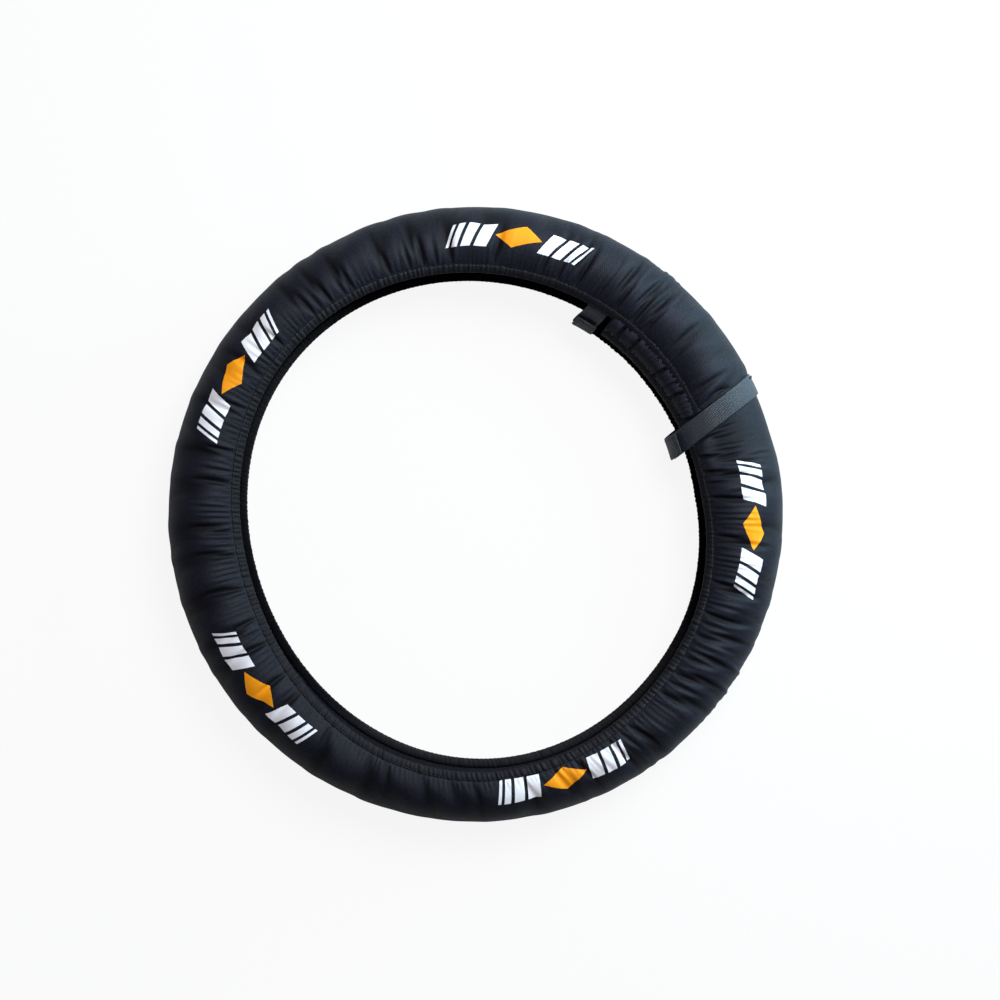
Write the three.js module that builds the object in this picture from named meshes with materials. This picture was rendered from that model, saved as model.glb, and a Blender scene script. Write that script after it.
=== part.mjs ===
// A gathered cloth cover for a motorcycle tyre, lying on its back face. Millimetres, +Z up.
// The ring's axis is Z and the cloth rests on z = 0. One long strip of cloth goes round the ring
// anticlockwise. Its outer end lies over its inner end, and a webbing strap closes round each end.
import * as THREE from "three";

// The covered ring, as a section through its axis
const outerRadius = 360;
const treadDepth = 48;
const mouthDepth = 72;
const halfThickness = 50;
const flattening = 4;

// The cloth strip
const clothThickness = 1;
const clothHalfWidth = 111;
const endExtraWidth = 30;
const outerEndOverlap = 6;
const outerTabReach = 70;
const tabTaper = 12;
const tabWidth = 3;
const stepWidth = 6;
const edgeGap = 1;
const innerEndBearing = 415.2;

// How unevenly the two hems run round the ring: the size of each wave, how many times it goes round,
// and the bearing of its peak
const hemShift = 4;
const hemOval = 8;
const hemTriangle = 3.7;
const hemWaves = [
  { size: hemShift, count: 1, peak: 100 },
  { size: hemOval, count: 2, peak: 18 },
  { size: hemTriangle, count: 3, peak: -33 },
];

// The gathers between the hems and the tread
const foldCount = 72;
const foldHeight = 6.5;
const foldUnevenness = 0.35;
const foldLean = 3.5;
const foldPinch = 5;

// Stretches of the ring, as bearings in degrees: where the strip grows wider towards its inner end,
// where its folds run out, where it dives under the outer end, and where the folds lean
const widening = [330, 400];
const foldsRunOut = [358, 370];
const diving = [364, 377];
const leanAtBottom = [215, 365];
const leanAtTop = [30, 110];

// The hems
const tunnelWidth = 8;
const tunnelHeight = 1.3;
const hemSeam = 2;
const flapBevel = 0.5;
const elasticClearance = 0.3;

// The straps
const strapWidth = 25;
const strapThickness = 1.4;
const strapLap = 56;
const outerStrapBearing = 25.2;
const outerStrapSlant = 12.8;
const innerStrapBearing = 56.7;
const innerStrapSlant = -7.2;
const innerStrapDip = 36;
const lapRise = 22;
const patchThickness = 1;
const patchMargin = 2;

// Gaps: layers of cloth and webbing lie looser than tape lies on its strap
const layerGap = 0.8;
const tapeGap = 0.3;

const hemDepth = clothThickness + tunnelWidth + hemSeam;
const hemBulk = 2 * clothThickness + tunnelHeight;
const tabDepth = strapThickness + layerGap;
const lapDepth = Math.max(tabDepth + clothThickness, hemBulk) + layerGap;
const midHeight = halfThickness - flattening;
const widestRadius = outerRadius - treadDepth;

const { degToRad, radToDeg, smoothstep, lerp } = THREE.MathUtils;

// The closed section's front half: a tread quarter, then a mouth quarter down to the innermost point
const treadArc = new THREE.EllipseCurve(widestRadius, 0, treadDepth, halfThickness, 0, Math.PI / 2);
const mouthArc = new THREE.EllipseCurve(widestRadius, 0, mouthDepth, halfThickness, Math.PI / 2, Math.PI);
treadArc.arcLengthDivisions = 400;
mouthArc.arcLengthDivisions = 400;
const treadLength = treadArc.getLength();
const halfGirth = treadLength + mouthArc.getLength();

// Rows of the tread that every layer shares, as distances from its outermost line
const shoulder = 0.75 * treadLength;
const treadRows = [0, shoulder / 3, (2 * shoulder) / 3, shoulder];

function arcPoint(distance) {
  const onTread = distance < treadLength;
  const arc = onTread ? treadArc : mouthArc;
  const along = onTread ? distance : distance - treadLength;
  const share = THREE.MathUtils.clamp(along / arc.getLength(), 0, 1);
  const place = arc.getPointAt(share);
  const tangent = arc.getTangentAt(share);
  return { r: place.x, z: place.y, outR: tangent.y, outZ: -tangent.x };
}

const treadPoints = treadRows.map(arcPoint);

function blendPoints(a, b, share) {
  return {
    r: lerp(a.r, b.r, share),
    z: lerp(a.z, b.z, share),
    outR: lerp(a.outR, b.outR, share),
    outZ: lerp(a.outZ, b.outZ, share),
  };
}

// A point of the section, and the outward direction there. The distance is measured from the tread's
// outermost line, positive over the front and negative over the back, which lies flat on the ground.
function sectionPoint(distance) {
  const reach = Math.abs(distance);
  const facet = Math.floor((reach / shoulder) * (treadRows.length - 1));
  const onFacets = facet < treadRows.length - 1;
  const start = treadRows[facet];
  const point = onFacets
    ? blendPoints(treadPoints[facet], treadPoints[facet + 1], (reach - start) / (shoulder / 3))
    : arcPoint(reach);
  if (distance >= 0) return point;
  return { ...point, z: -Math.min(point.z, midHeight), outZ: -point.outZ };
}

// A point raised off the section, and raised further by a fold where the ground leaves room for it
function layerPoint(distance, raise, fold = 0) {
  const base = sectionPoint(distance);
  const r = base.r + base.outR * (raise + fold);
  const z = base.z + base.outZ * (raise + fold);
  const ground = -midHeight - raise * Math.abs(base.outZ);
  return { r, z: distance < 0 ? Math.max(z, ground) : z };
}

function placed(bearing, { r, z }) {
  const angle = degToRad(bearing);
  return new THREE.Vector3(r * Math.cos(angle), r * Math.sin(angle), z);
}

// The bearing at radius r of a straight line that crosses the tread at a slant, a little to one side
// of the strap's own line
function lineBearing(strap, r, across) {
  const slant = degToRad(strap.slant);
  const offset = outerRadius * Math.sin(slant) - across;
  return strap.bearing + strap.slant - radToDeg(Math.asin(offset / r));
}

// Joins two neighbouring rows, which may have different steps, by triangles. Where both could move on,
// the shorter of the two diagonals is taken, so that neighbouring layers are split alike.
function stitchRows(a, b, triangles) {
  let i = 0;
  let j = 0;
  const middle = (row, n) => (n < row.length - 1 ? (row[n].station + row[n + 1].station) / 2 : Infinity);
  while (i < a.length - 1 || j < b.length - 1) {
    const lead = middle(b, j) - middle(a, i);
    const shorter = () =>
      a[i + 1].place.distanceTo(b[j].place) <= a[i].place.distanceTo(b[j + 1].place);
    if (lead > 0 || (lead === 0 && shorter())) {
      triangles.push(a[i].index, a[i + 1].index, b[j].index);
      i += 1;
    } else {
      triangles.push(a[i].index, b[j + 1].index, b[j].index);
      j += 1;
    }
  }
}

// Closes one end with a flat face. Outlines are the section's loops there, the outer one first.
function capEnd(outlines, facesBack, triangles) {
  const corners = outlines.flat();
  const [contour, ...holes] = outlines.map((loop) => loop.map((corner) => corner.flat));
  const faces = THREE.ShapeUtils.triangulateShape(contour, holes);
  const areaOf = (face) => THREE.ShapeUtils.area(face.map((n) => corners[n].flat));
  const anticlockwise = faces.reduce((sum, face) => sum + areaOf(face), 0) > 0;
  for (const [p, q, s] of faces) {
    const order = anticlockwise === facesBack ? [p, q, s] : [p, s, q];
    triangles.push(...order.map((n) => corners[n].index));
  }
}

// Sweeps a section through its stations. Each loop of the section is a list of rows, the first loop
// its outline, anticlockwise, and the others tunnels, clockwise. A row is { step, at(station) }, with
// a vertex at every step-th station. at gives the place and its flat coordinates in the section.
function sweptSolid(loops, stationCount) {
  const positions = [];
  const triangles = [];
  const swept = loops.map((loop) =>
    loop.map((row) => {
      const vertices = [];
      for (let station = 0; station <= stationCount; station += row.step) {
        const { place, flat } = row.at(station);
        vertices.push({ station, place, flat, index: positions.length / 3 });
        positions.push(place.x, place.y, place.z);
      }
      return vertices;
    }),
  );
  for (const loop of swept) {
    loop.forEach((row, n) => stitchRows(row, loop[(n + 1) % loop.length], triangles));
  }
  capEnd(swept.map((loop) => loop.map((row) => row[0])), true, triangles);
  capEnd(swept.map((loop) => loop.map((row) => row.at(-1))), false, triangles);
  const geometry = new THREE.BufferGeometry();
  geometry.setAttribute("position", new THREE.Float32BufferAttribute(positions, 3));
  geometry.setIndex(triangles);
  geometry.computeVertexNormals();
  return geometry;
}

function addMesh(group, name, geometry, look) {
  const mesh = new THREE.Mesh(geometry, new THREE.MeshStandardMaterial(look));
  mesh.name = name;
  group.add(mesh);
}

const cloth = { color: 0x23272e, roughness: 0.72, metalness: 0 };
const elastic = { color: 0x15161a, roughness: 0.85, metalness: 0 };
const webbing = { color: 0x1c2027, roughness: 0.6, metalness: 0 };
const hookTape = { color: 0x121316, roughness: 0.9, metalness: 0 };
const loopTape = { color: 0x17191d, roughness: 0.95, metalness: 0 };

// The outer strap lies level with the outer layer, and dips to the inner layer past the tab. The inner
// strap lies under the outer layer, and dips further to clear its hem.
const outerStrap = {
  bearing: outerStrapBearing,
  slant: outerStrapSlant,
  treadRaise: 0,
  mouthRaise: tabDepth - lapDepth,
  dipStart: outerTabReach + 2 * tabTaper,
  dipEnd: outerTabReach + 4 * tabTaper,
};
const innerStrap = {
  bearing: innerStrapBearing,
  slant: innerStrapSlant,
  treadRaise: -clothThickness - layerGap,
  mouthRaise: -hemBulk - layerGap,
  dipStart: shoulder,
  dipEnd: shoulder + innerStrapDip,
};

// The strip's stations. Four make one fold. The first two cells run beside the outer strap: over the
// tread they are a tab sewn under it and the step up from there, and nearer the hems the cloth's edge
// comes out from under the strap and lies beside it.
const cellSteps = 4;
const endCells = 2;
const cellCount = endCells + foldCount;
const stationCount = cellCount * cellSteps;
const leanCells = 4;

function endLines(distance) {
  const beside = strapWidth / 2 + edgeGap;
  const free = smoothstep(Math.abs(distance), outerTabReach - tabTaper, outerTabReach + edgeGap);
  const edge = lerp(strapWidth / 2 - outerEndOverlap, beside, free);
  return [edge, strapWidth / 2 + tabWidth, strapWidth / 2 + tabWidth + stepWidth];
}

// A repeatable scatter from 0 to 1
function scatter(n, seed) {
  const wave = Math.sin(n * 12.9898 + seed * 78.233) * 43758.5453;
  return wave - Math.floor(wave);
}

const firstFoldBearing = lineBearing(outerStrap, outerRadius, endLines(0)[endCells]);
const foldWidths = Array.from(
  { length: foldCount },
  (_, n) => 1 + foldUnevenness * (scatter(n, 1) * 2 - 1),
);
const widthSum = foldWidths.reduce((sum, width) => sum + width, 0);
const foldBearings = foldWidths.reduce(
  (list, width) => [...list, list.at(-1) + (width / widthSum) * (innerEndBearing - firstFoldBearing)],
  [firstFoldBearing],
);

// A value given at each cell's edge, read between the edges
function betweenCells(values, station) {
  const cell = Math.min(Math.floor(station / cellSteps), values.length - 2);
  return lerp(values[cell], values[cell + 1], station / cellSteps - cell);
}

function nominalBearing(station) {
  return betweenCells(foldBearings, Math.max(station - endCells * cellSteps, 0));
}

// The gathers run straight in at the top and left, and lean round the ring at the bottom and right
function leanAt(bearing, r) {
  const share = smoothstep(r, widestRadius - mouthDepth / 2, outerRadius);
  const bottom = Math.sin(Math.PI * smoothstep(bearing, ...leanAtBottom));
  const top = Math.sin(Math.PI * smoothstep(bearing, ...leanAtTop));
  return foldLean * share * (bottom - 0.6 * top);
}

// Where a point of the cloth lies round the ring
function clothBearing(station, distance) {
  const { r } = sectionPoint(distance);
  const endStation = endCells * cellSteps;
  const lines = endLines(distance);
  if (station <= endStation) return lineBearing(outerStrap, r, betweenCells(lines, station));
  const nominal = nominalBearing(station);
  const slanted = lineBearing(outerStrap, r, lines[endCells]) - firstFoldBearing;
  const left = 1 - smoothstep(station - endStation, 0, leanCells * cellSteps);
  return nominal + slanted * left + leanAt(nominal, r);
}

// How far the cloth reaches from the tread's outermost line to each hem. It reaches further in at the
// right, where the two ends lap.
function hemDistance(station) {
  const bearing = nominalBearing(station);
  const wave = ({ size, count, peak }) => size * Math.cos(count * degToRad(bearing - peak));
  const uneven = hemWaves.reduce((sum, each) => sum + wave(each), 0);
  return clothHalfWidth + uneven + endExtraWidth * smoothstep(bearing, ...widening);
}

// How far the cloth lies above the section: under the strap along the tab, and under the outer end's
// layer at its inner end
function clothRaise(station, distance) {
  const tabLength = 1 - smoothstep(distance, outerTabReach + tabTaper, outerTabReach + 2 * tabTaper);
  const tab = -tabDepth * tabLength * (1 - smoothstep(station, cellSteps, endCells * cellSteps));
  return tab - lapDepth * smoothstep(nominalBearing(station), ...diving);
}

// The height of the folds: nothing at the seam and on the tread, and most between them
function foldAt(station, distance) {
  const cell = Math.floor(station / cellSteps);
  const profile = [0, 0.7, 1, 0.7][station % cellSteps];
  const size = foldHeight * (0.6 + 0.4 * scatter(cell, 2));
  const seam = hemDistance(station) - hemDepth;
  const fade = smoothstep(distance, 0.55 * treadLength * (0.8 + 0.4 * scatter(cell, 3)), treadLength);
  const pinch = smoothstep(seam - distance, 0, foldPinch);
  const started = smoothstep(station, endCells * cellSteps, (endCells + 1) * cellSteps);
  const running = 1 - smoothstep(nominalBearing(station), ...foldsRunOut);
  return size * profile * fade * pinch * started * running;
}

// A row of the cloth. side is 1 on the front and -1 on the back, reach its distance from the tread's
// line at each station, and depth how far it lies under the cloth's outer face.
function clothRow(side, reach, depth, step) {
  return {
    step,
    at(station) {
      const distance = reach(station);
      const raise = clothRaise(station, distance) - depth;
      const point = layerPoint(side * distance, raise, foldAt(station, distance));
      return {
        place: placed(clothBearing(station, distance), point),
        flat: new THREE.Vector2(point.r, point.z),
      };
    },
  };
}

// Distances of the rows between the shoulder and the hem's seam, and in the hem itself
const seamReach = (station) => hemDistance(station) - hemDepth;
const sideReach = (share) => (station) => lerp(shoulder, seamReach(station), share);
const hemReach = (fromEdge) => (station) => hemDistance(station) - fromEdge;
const fixedReach = (distance) => () => distance;

// One face of the cloth, from the tread out to the hem's seam
function faceRows(side, depth) {
  return [
    clothRow(side, fixedReach(treadRows[1]), depth, cellSteps),
    clothRow(side, fixedReach(treadRows[2]), depth, cellSteps),
    clothRow(side, fixedReach(treadRows[3]), depth, 1),
    clothRow(side, sideReach(0.42), depth, 1),
    clothRow(side, sideReach(0.8), depth, 1),
    clothRow(side, seamReach, depth, cellSteps),
  ];
}

// The hem's edge, turned in and sewn down
function hemRows(side) {
  return [
    clothRow(side, hemDistance, 0, cellSteps),
    clothRow(side, hemDistance, hemBulk, cellSteps),
    clothRow(side, hemReach(hemDepth - flapBevel), hemBulk, cellSteps),
  ];
}

// The four corners of the tunnel in a hem, clockwise in the section on the front
function tunnelCorners(side) {
  const edge = hemReach(clothThickness);
  const seam = hemReach(clothThickness + tunnelWidth);
  return [
    clothRow(side, edge, clothThickness, cellSteps),
    clothRow(side, seam, clothThickness, cellSteps),
    clothRow(side, seam, clothThickness + tunnelHeight, cellSteps),
    clothRow(side, edge, clothThickness + tunnelHeight, cellSteps),
  ];
}

// A row inside the tunnel, at a share of its width from the edge and of its height from the top
function tunnelRow(side, share, drop) {
  const corners = tunnelCorners(side);
  return {
    step: cellSteps,
    at(station) {
      const [edgeTop, seamTop, seamFoot, edgeFoot] = corners.map((corner) => corner.at(station));
      const blend = (key) => {
        const top = edgeTop[key].clone().lerp(seamTop[key], share);
        return top.lerp(edgeFoot[key].clone().lerp(seamFoot[key], share), drop);
      };
      return { place: blend("place"), flat: blend("flat") };
    },
  };
}

function elasticRows(side) {
  const share = elasticClearance / tunnelWidth;
  const drop = elasticClearance / tunnelHeight;
  return [
    tunnelRow(side, 1 - share, drop),
    tunnelRow(side, share, drop),
    tunnelRow(side, share, 1 - drop),
    tunnelRow(side, 1 - share, 1 - drop),
  ];
}

function coverPanel() {
  const outline = [
    clothRow(1, fixedReach(0), 0, cellSteps),
    ...faceRows(1, 0),
    ...hemRows(1),
    ...faceRows(1, clothThickness).reverse(),
    clothRow(1, fixedReach(0), clothThickness, cellSteps),
    ...faceRows(-1, clothThickness),
    ...hemRows(-1).reverse(),
    ...faceRows(-1, 0).reverse(),
  ];
  return sweptSolid([outline, tunnelCorners(1), tunnelCorners(-1).reverse()], stationCount);
}

function hemElastic(side) {
  const rows = elasticRows(side);
  return sweptSolid([side > 0 ? rows : rows.reverse()], stationCount);
}

// A strap's way round the ring: from its inner end behind the ring, in through the mouth, over the
// front, the tread and the back, and in again over its own start
const girth = 2 * halfGirth;
const strapLength = girth + strapLap;
const strapSteps = 56;

function strapDistance(along) {
  const distance = halfGirth + strapLap / 2 - along;
  if (distance > halfGirth) return distance - girth;
  return distance < -halfGirth ? distance + girth : distance;
}

// The second turn is lifted over the two tapes that join it to the first
const tapeStack = 3 * tapeGap + 2 * patchThickness;

function strapRaise(strap, along) {
  const reach = Math.abs(strapDistance(along));
  const sunk = lerp(strap.treadRaise, strap.mouthRaise, smoothstep(reach, strap.dipStart, strap.dipEnd));
  const lapStart = strapLength - strapLap;
  const lift = smoothstep(along, lapStart - lapRise - 2 * patchMargin, lapStart - 2 * patchMargin);
  return sunk + lift * (strapThickness + tapeStack);
}

// A band along the strap, between two distances along it, depth under the strap's outer face
function strapBand(strap, from, to, width, depth, thickness, steps) {
  const column = (across, under) => ({
    step: 1,
    at(station) {
      const along = lerp(from, to, station / steps);
      const distance = strapDistance(along);
      const { r } = sectionPoint(distance);
      return {
        place: placed(
          lineBearing(strap, r, across) - strap.bearing,
          layerPoint(distance, strapRaise(strap, along) - under),
        ),
        flat: new THREE.Vector2(across, under),
      };
    },
  });
  const acrosses = [-width / 2, 0, width / 2];
  const outer = acrosses.map((across) => column(across, depth));
  const inner = acrosses.map((across) => column(across, depth + thickness)).reverse();
  return sweptSolid([[...outer, ...inner]], steps);
}

// The strap, the loop tape on its first end and the hook tape inside its second end
function strapSet(strap, names) {
  const group = new THREE.Group();
  group.rotation.z = degToRad(strap.bearing);
  const patchWidth = strapWidth - 2 * patchMargin;
  const lapStart = strapLength - strapLap;
  const above = -tapeGap - patchThickness;
  const below = strapThickness + tapeGap;
  const band = (from, to, width, depth, thickness, steps) =>
    strapBand(strap, from, to, width, depth, thickness, steps);
  addMesh(group, names.strap, band(0, strapLength, strapWidth, 0, strapThickness, strapSteps), webbing);
  addMesh(
    group,
    names.loop,
    band(patchMargin, strapLap - patchMargin, patchWidth, above, patchThickness, 8),
    loopTape,
  );
  addMesh(
    group,
    names.hook,
    band(lapStart + patchMargin, strapLength - patchMargin, patchWidth, below, patchThickness, 8),
    hookTape,
  );
  return group;
}

const cover = new THREE.Group();
cover.position.z = midHeight;
addMesh(cover, "cover_panel", coverPanel(), cloth);
addMesh(cover, "front_hem_elastic", hemElastic(1), elastic);
addMesh(cover, "back_hem_elastic", hemElastic(-1), elastic);
cover.add(
  strapSet(outerStrap, {
    strap: "outer_end_strap",
    loop: "outer_strap_loop_patch",
    hook: "outer_strap_hook_patch",
  }),
  strapSet(innerStrap, {
    strap: "inner_end_strap",
    loop: "inner_strap_loop_patch",
    hook: "inner_strap_hook_patch",
  }),
);

const root = new THREE.Group();
root.add(cover);

export default root;
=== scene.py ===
import bpy
import numpy as np
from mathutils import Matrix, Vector


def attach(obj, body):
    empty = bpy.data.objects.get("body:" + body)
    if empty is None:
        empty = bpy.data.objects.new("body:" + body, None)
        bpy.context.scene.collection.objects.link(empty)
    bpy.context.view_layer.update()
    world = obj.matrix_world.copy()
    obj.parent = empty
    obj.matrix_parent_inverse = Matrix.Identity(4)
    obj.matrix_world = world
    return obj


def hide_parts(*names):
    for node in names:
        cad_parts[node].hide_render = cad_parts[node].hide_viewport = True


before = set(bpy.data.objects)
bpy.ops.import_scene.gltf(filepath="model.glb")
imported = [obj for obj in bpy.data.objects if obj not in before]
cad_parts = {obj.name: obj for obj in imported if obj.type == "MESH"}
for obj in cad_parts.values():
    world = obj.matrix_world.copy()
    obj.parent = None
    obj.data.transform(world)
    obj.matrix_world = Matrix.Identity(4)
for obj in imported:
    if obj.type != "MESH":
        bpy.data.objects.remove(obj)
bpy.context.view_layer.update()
scene = bpy.context.scene
scene.view_settings.view_transform = "Standard"

tau = 2 * np.pi


def smooth(x, low, high):  # 0 below low, 1 above high, and an even rise between
    t = np.clip((x - low) / (high - low), 0, 1)
    return t * t * (3 - 2 * t)


def blendTo(a, b, share):
    return a + (b - a) * share


ring = {
    "outerRadius": 0.360,
    "treadDepth": 0.048,
    "mouthDepth": 0.072,
    "halfThickness": 0.050,
    "midHeight": 0.046,
    "groundGap": 0.0003,
}
widest = ring["outerRadius"] - ring["treadDepth"]


quarterSteps = 1500


def sectionTable():  # two quarter ellipses end to end, measured along their line from the tread
    angle = np.linspace(0, np.pi / 2, quarterSteps)
    sine, cosine = np.sin(angle), np.cos(angle)
    r = np.r_[widest + ring["treadDepth"] * cosine, (widest - ring["mouthDepth"] * sine)[1:]]
    z = np.r_[ring["halfThickness"] * sine, (ring["halfThickness"] * cosine)[1:]]
    far = np.r_[0, np.cumsum(np.hypot(np.diff(r), np.diff(z)))]
    return far, r, z


sectionFar, sectionR, sectionZ = sectionTable()
halfGirth = sectionFar[-1]


def ringSection(s):  # radius, height and outward direction at a distance s from the tread, + in front
    reach = np.abs(s)
    r = np.interp(reach, sectionFar, sectionR)
    z = np.interp(reach, sectionFar, sectionZ)
    depth = np.where(r > widest, ring["treadDepth"], ring["mouthDepth"])
    outR = (r - widest) / depth ** 2
    outZ = z / ring["halfThickness"] ** 2
    size = np.hypot(outR, outZ)
    front = np.where(s < 0, -1.0, 1.0)
    return r, np.where(s < 0, -np.minimum(z, ring["midHeight"]), z), outR / size, front * outZ / size


# The section's point, moved outwards by lift and turned round to its bearing, above the ground
def onRing(bearing, s, lift):
    r, z, outR, outZ = ringSection(s)
    r = r + outR * lift
    z = np.maximum(z + outZ * lift, -ring["midHeight"] + ring["groundGap"])
    return np.stack([r * np.cos(bearing), r * np.sin(bearing), z + ring["midHeight"]], -1)


strapCloth = {
    "width": 0.025,
    "thickness": 0.0014,
    "lap": 0.056,
    "rise": 0.022,
    "tapeGap": 0.0003,
    "patchThickness": 0.001,
    "margin": 0.002,
    "tuckReach": (0.115, 0.150),
}
outerStrap = {
    "bearing": 25.2,
    "slant": 12.8,
    "treadLift": 0.0,
    "mouthLift": -0.0019,
    "dip": (0.094, 0.118),
    "tuck": 0.0,
}
innerStrap = {
    "bearing": 56.7,
    "slant": -7.2,
    "treadLift": -0.0018,
    "mouthLift": -0.0041,
    "dip": (0.0577, 0.0937),
    "tuck": 0.010,
}


# Where a straight line that crosses the tread at a slant meets radius r
def lineBearing(strap, r, across):
    slant = np.radians(strap["slant"])
    offset = ring["outerRadius"] * np.sin(slant) - across
    return np.radians(strap["bearing"] + strap["slant"]) - np.arcsin(offset / r)


def strapDistance(along):  # distance from the tread, + in front, at a length along the closed strap
    distance = halfGirth + strapCloth["lap"] / 2 - along
    distance = np.where(distance > halfGirth, distance - 2 * halfGirth, distance)
    return np.where(distance < -halfGirth, distance + 2 * halfGirth, distance)


strapLength = 2 * halfGirth + strapCloth["lap"]
tapeStack = 3 * strapCloth["tapeGap"] + 2 * strapCloth["patchThickness"]


def strapLift(strap, along):
    reach = np.abs(strapDistance(along))
    sunk = blendTo(strap["treadLift"], strap["mouthLift"], smooth(reach, *strap["dip"]))
    sunk = sunk - strap["tuck"] * smooth(reach, *strapCloth["tuckReach"])
    start = strapLength - strapCloth["lap"] - 2 * strapCloth["margin"]
    lift = smooth(along, start - strapCloth["rise"], start)
    return sunk + lift * (strapCloth["thickness"] + tapeStack)


cover = {
    "halfWidth": 0.111,
    "endExtra": 0.030,
    "hemWaves": ((0.004, 1, 100), (0.008, 2, 18), (0.0037, 3, -33)),
    "hemDepth": 0.011,
    "frontPull": 0.006,
    "frontPullBearings": (185, 320),
    "endExtraBearings": (330, 400),
    "innerEnd": 415.2,
    "lapDepth": 0.0041,
    "columns": 1850,
    "rows": 53,
    "rowEase": 1.35,
    "intoHem": 0.001,
    "folds": 54,
    "foldSpread": 0.5,
    "wander": 0.44,
    "finePleat": 0.0014,
    "creaseDepth": 0.0020,
    # width of the mean height for the painted crease shade, in folds
    "creaseShadeFolds": 0.7,
    "slack": 1.027,
    "lean": 3.5,
    "topLean": 0.6,
    "leanBearings": ((215, 365), (30, 110)),
    "rounds": 120,
    "quickRounds": 30,
    "seed": 11,
}
outerEnd = {
    "edge": (0.0065, 0.0135),
    "edgeReach": (0.058, 0.071),
    "slantedFor": 22,
    "sink": 0.0022,
    "sinkAlong": (0.006, 0.016),
    "sinkReach": (0.058, 0.075),
}
innerEnd = {
    "sinkBearings": (364, 377),
    "turn": 2.8,
    "turnBearings": (398, 415),
    "turnReach": (0.05, 0.12),
}


# From the tread line to the edge of a hem: a few slow waves, wider at the inner end, and narrower in
# front at the lower left, where the hem is drawn outwards
def hemDistance(bearing, side=-1):
    degrees = np.degrees(bearing)
    total = cover["halfWidth"] + cover["endExtra"] * smooth(degrees, *cover["endExtraBearings"])
    for size, count, peak in cover["hemWaves"]:
        total = total + size * np.cos(count * (bearing - np.radians(peak)))
    pulled = cover["frontPull"] * np.sin(np.pi * smooth(degrees, *cover["frontPullBearings"]))
    return total - np.where(side > 0, pulled, 0)


def endEdge(s):  # the outer end lies under its strap on the tread and beside it near the hems
    return blendTo(*outerEnd["edge"], smooth(np.abs(s), *outerEnd["edgeReach"]))


startBearing = float(lineBearing(outerStrap, ring["outerRadius"], endEdge(0.0)))
endBearing = np.radians(cover["innerEnd"])
ringLength = ring["outerRadius"] * (endBearing - startBearing)
flatLength = ringLength * cover["slack"]


# The strip's own bearing: slanted at its outer end, leaning where it is twisted, and turned on at its
# inner end at the back
def clothBearing(nominal, s):
    r = ringSection(s)[0]
    degrees = np.degrees(nominal)
    slanted = lineBearing(outerStrap, r, endEdge(s)) - startBearing
    left = 1 - smooth(nominal - startBearing, 0, np.radians(outerEnd["slantedFor"]))
    share = smooth(r, widest - ring["mouthDepth"] / 2, ring["outerRadius"])
    bottom, top = (np.sin(np.pi * smooth(degrees, *limits)) for limits in cover["leanBearings"])
    backEnd = np.radians(innerEnd["turn"]) * smooth(degrees, *innerEnd["turnBearings"])
    backEnd = backEnd * smooth(-s, *innerEnd["turnReach"])
    lean = np.radians(cover["lean"]) * share * (bottom - cover["topLean"] * top)
    return nominal + slanted * left + backEnd + lean


# Down under the strap at the outer end, and down under the outer layer at the inner end
def clothLift(nominal, s):
    along = (nominal - startBearing) * ring["outerRadius"]
    underStrap = 1 - smooth(along, *outerEnd["sinkAlong"])
    nearTread = 1 - smooth(np.abs(s), *outerEnd["sinkReach"])
    lapped = cover["lapDepth"] * smooth(np.degrees(nominal), *innerEnd["sinkBearings"])
    return -outerEnd["sink"] * underStrap * nearTread - lapped


foldShape = {
    "split": 0.15,
    "pleatWidth": 0.15,
    "pleatSpread": 0.3,
    "roundness": 0.7,
    "height": (0.55, 1.1),
    "broadShare": 0.25,
    "broadReach": (0.003, 0.030),
    "wanderReach": (0.003, 0.04),
    "swayLength": 0.12,
    "swayTurn": 0.6,
    "startsOver": (0.004, 0.02),
    "hiddenAtSeam": 0.6,
    "hiddenReach": (0.012, 1.5),
    "pleatHeight": 0.4,
    "pleatReach": (0.008, 1.4),
}


# Folds come in three sizes that share their valleys: broad ones, each of which splits in two towards
# the hems, and the fine pleats at the seams
def foldTree():
    dice = np.random.default_rng(cover["seed"])
    broad, middle, fine = [], [], []
    for width in 1 + cover["foldSpread"] * (dice.random(cover["folds"]) * 2 - 1):
        broad.append(width)
        parts = width / 2 + dice.uniform(-foldShape["split"], foldShape["split"]) * np.array([1, -1])
        middle.extend(parts)
        for part in parts:
            count = max(1, int(round(part / foldShape["pleatWidth"])))
            pieces = 1 + foldShape["pleatSpread"] * (dice.random(count) * 2 - 1)
            fine.extend(part * pieces / pieces.sum())
    return [np.r_[0, np.cumsum(sizes)] / np.sum(sizes) for sizes in (broad, middle, fine)]


foldEdges = foldTree()


def foldWave(along, level, seed):  # one hump for each fold, with a height of its own, 0 in each valley
    edges = foldEdges[level]
    phase = np.interp(along, edges, np.arange(len(edges)))
    own = np.random.default_rng(seed).random(len(edges) + 1)
    number = np.clip(phase.astype(int), 0, len(edges) - 1)
    width = np.diff(edges)[np.clip(number, 0, len(edges) - 2)]
    return np.abs(np.sin(np.pi * phase)) ** foldShape["roundness"], own[number], width


def nearSeam(toSeam, size, power):  # 1 at the seam, and fading out over about the size
    return np.exp(-(np.clip(toSeam, 0, 1) / size) ** power)


# The share of length that the folds take up. Next to the seam the fine pleats hide most of it.
def spareLength(s, toSeam):
    spare = np.clip(cover["slack"] * ring["outerRadius"] / ringSection(s)[0] - 1, 0, 1)
    return spare * (1 - foldShape["hiddenAtSeam"] * nearSeam(toSeam, *foldShape["hiddenReach"]))


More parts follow.
